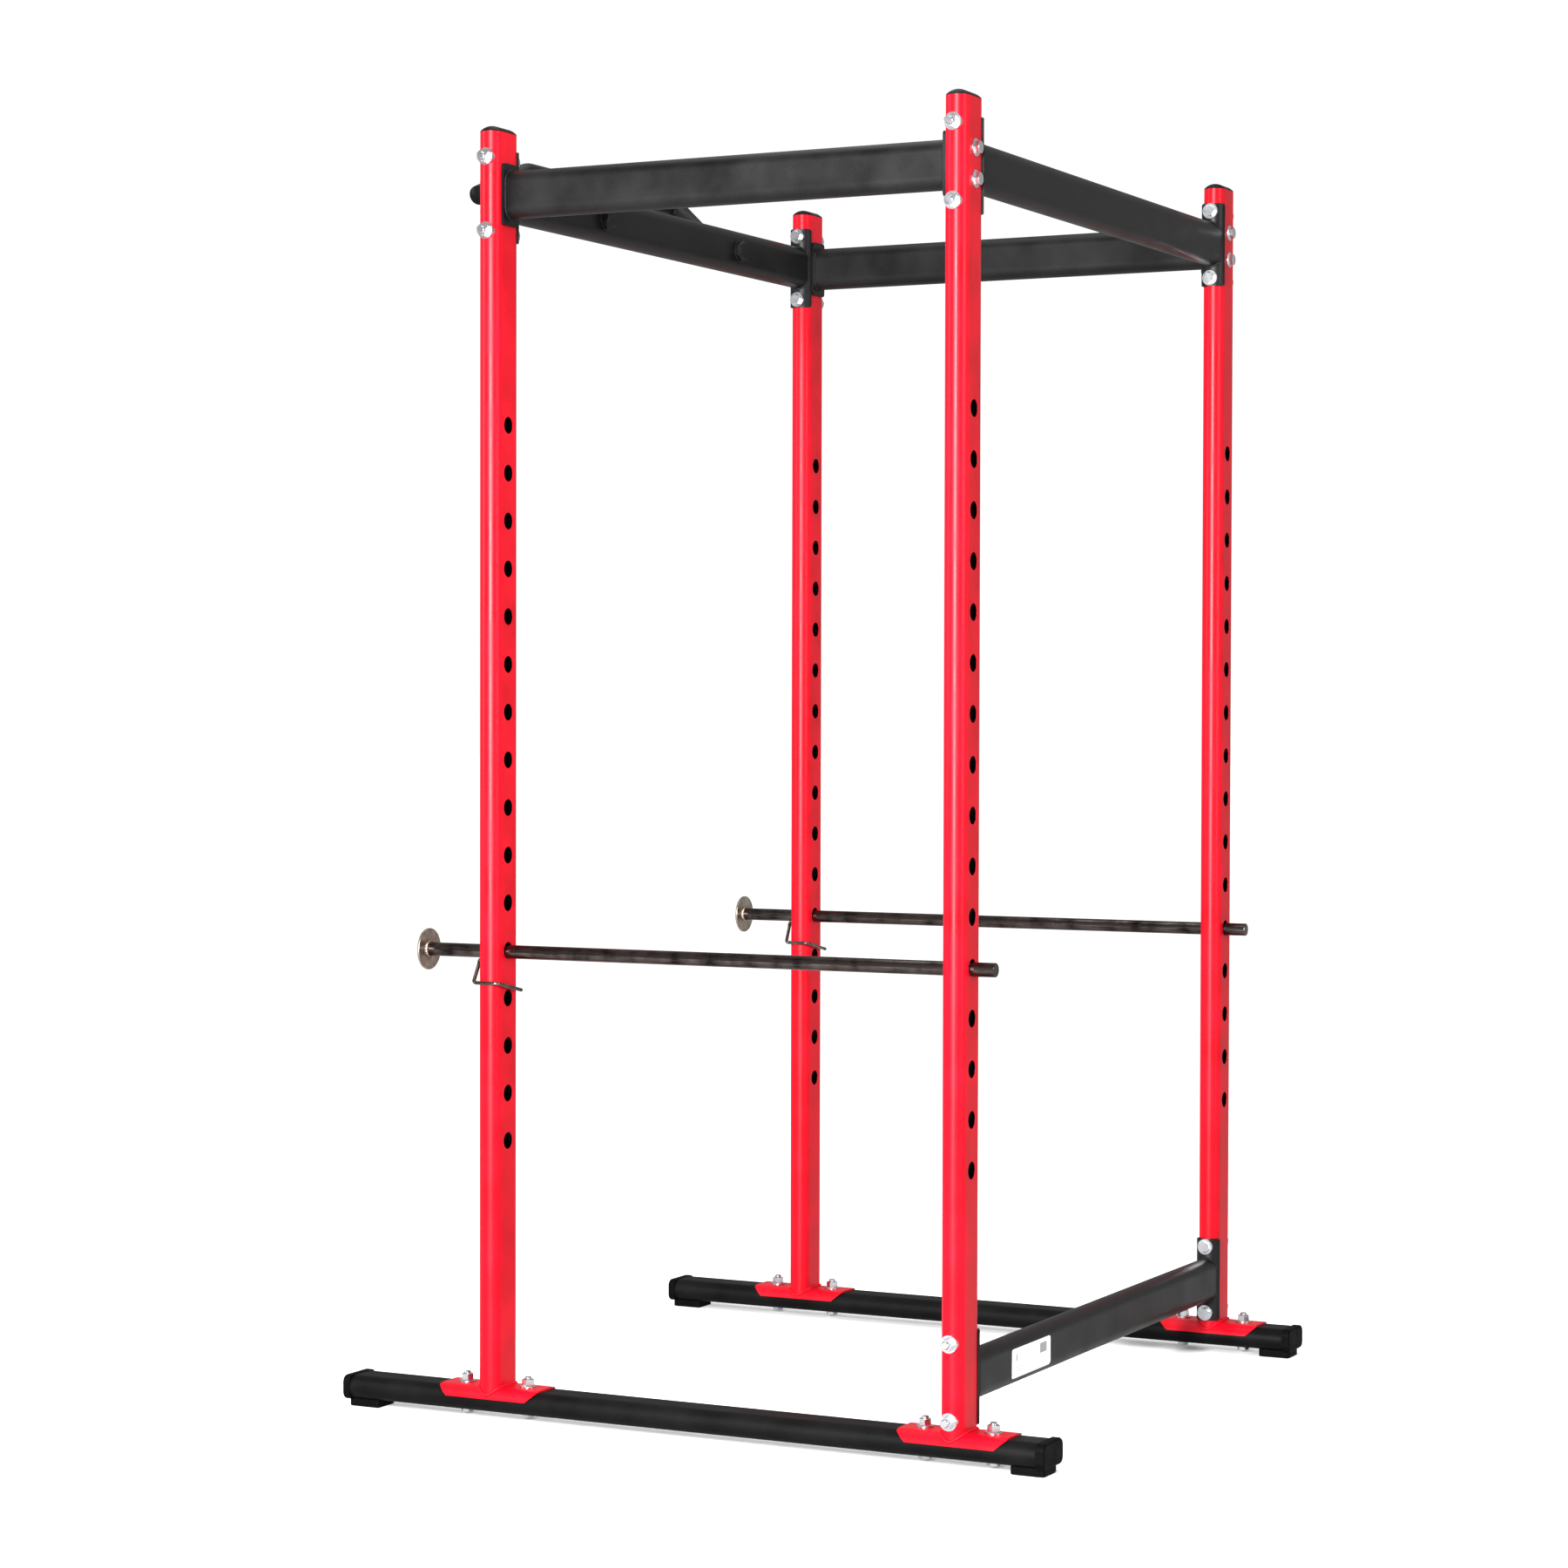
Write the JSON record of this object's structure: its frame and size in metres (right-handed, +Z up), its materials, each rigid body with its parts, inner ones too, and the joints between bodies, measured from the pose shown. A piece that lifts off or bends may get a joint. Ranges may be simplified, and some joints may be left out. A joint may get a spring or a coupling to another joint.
{
  "type": "power cage",
  "caption": "Upright barbell training cage in flat-oval tube: drilled uprights on two base rails, open front with a pull-up bar, two sliding safety bars with wire retaining hooks",
  "frame": {"origin": "On the floor, under the middle of the two base rails", "axes": "+Z up, +Y towards the closed rear with the low crossbeam, -Y towards the open front and pull-up bar, +X to the right-hand side for someone who stands in the cage and looks to the rear"},
  "size_m": [1.2232, 1.236, 2.0639],
  "materials": {
    "red_powder_coat": "satin red powder coat with a fine grain",
    "black_powder_coat": "fine-textured black powder coat",
    "zinc_plate": "bright zinc plate",
    "dark_nickel": "ground steel with dark nickel plate",
    "black_plastic": "black moulded plastic",
    "black_rubber": "hard black rubber",
    "label_film": "white self-adhesive film, blank"
  },
  "bodies": {
    "frame": {"base_tube_left": "black_powder_coat", "base_tube_right": "black_powder_coat", "foot_front_left": "black_rubber", "foot_front_right": "black_rubber", "foot_rear_left": "black_rubber", "foot_rear_right": "black_rubber", "front_beam": "black_powder_coat", "front_beam_bolts": "zinc_plate", "front_beam_nuts": "zinc_plate", "front_beam_plates": "black_powder_coat", "front_beam_washers": "zinc_plate", "label_plate": "label_film", "post_cap_front_left": "black_plastic", "post_cap_front_right": "black_plastic", "post_cap_rear_left": "black_plastic", "post_cap_rear_right": "black_plastic", "pullup_arm_plates": "black_powder_coat", "pullup_arms": "black_powder_coat", "pullup_bar": "black_powder_coat", "pullup_bolts": "black_powder_coat", "pullup_plugs": "black_plastic", "pullup_washers": "black_powder_coat", "rear_low_beam": "black_powder_coat", "rear_low_beam_bolts": "zinc_plate", "rear_low_beam_nuts": "zinc_plate", "rear_low_beam_plates": "black_powder_coat", "rear_low_beam_washers": "zinc_plate", "rear_top_beam": "black_powder_coat", "rear_top_beam_bolts": "zinc_plate", "rear_top_beam_nuts": "zinc_plate", "rear_top_beam_plates": "black_powder_coat", "rear_top_beam_washers": "zinc_plate", "saddle_bolts": "zinc_plate", "saddle_front_left": "red_powder_coat", "saddle_front_right": "red_powder_coat", "saddle_nuts": "zinc_plate", "saddle_rear_left": "red_powder_coat", "saddle_rear_right": "red_powder_coat", "saddle_washers": "zinc_plate", "side_beam_bolts": "zinc_plate", "side_beam_left": "black_powder_coat", "side_beam_plates_left": "black_powder_coat", "side_beam_plates_right": "black_powder_coat", "side_beam_right": "black_powder_coat", "side_beam_washers": "zinc_plate", "side_beam_weld_nuts": "zinc_plate", "upright_front_left": "red_powder_coat", "upright_front_right": "red_powder_coat", "upright_rear_left": "red_powder_coat", "upright_rear_right": "red_powder_coat"},
    "safety_bar_left": {"safety_rod_left": "dark_nickel", "safety_disc_left": "dark_nickel", "safety_weld_ring_left": "dark_nickel"},
    "safety_bar_right": {"safety_rod_right": "dark_nickel", "safety_disc_right": "dark_nickel", "safety_weld_ring_right": "dark_nickel"},
    "safety_hook_body_left": {"safety_hook_left": "dark_nickel"},
    "safety_hook_body_right": {"safety_hook_right": "dark_nickel"}
  },
  "joints": [
    {"name": "safety_bar_slide_left", "type": "slide", "parent": "frame", "child": "safety_bar_left", "axis": [0, -1, 0], "range_m": [0, 0.84]},
    {"name": "safety_hook_turn_left", "type": "hinge", "parent": "safety_bar_left", "child": "safety_hook_body_left", "pos_m": [-0.556, -0.346, 0.7497], "axis": [0, -1, 0], "range_deg": [0, 90]},
    {"name": "safety_bar_slide_right", "type": "slide", "parent": "frame", "child": "safety_bar_right", "axis": [0, -1, 0], "range_m": [0, 0.84]},
    {"name": "safety_hook_turn_right", "type": "hinge", "parent": "safety_bar_right", "child": "safety_hook_body_right", "pos_m": [0.556, -0.346, 0.7497], "axis": [0, -1, 0], "range_deg": [0, 90]}
  ]
}
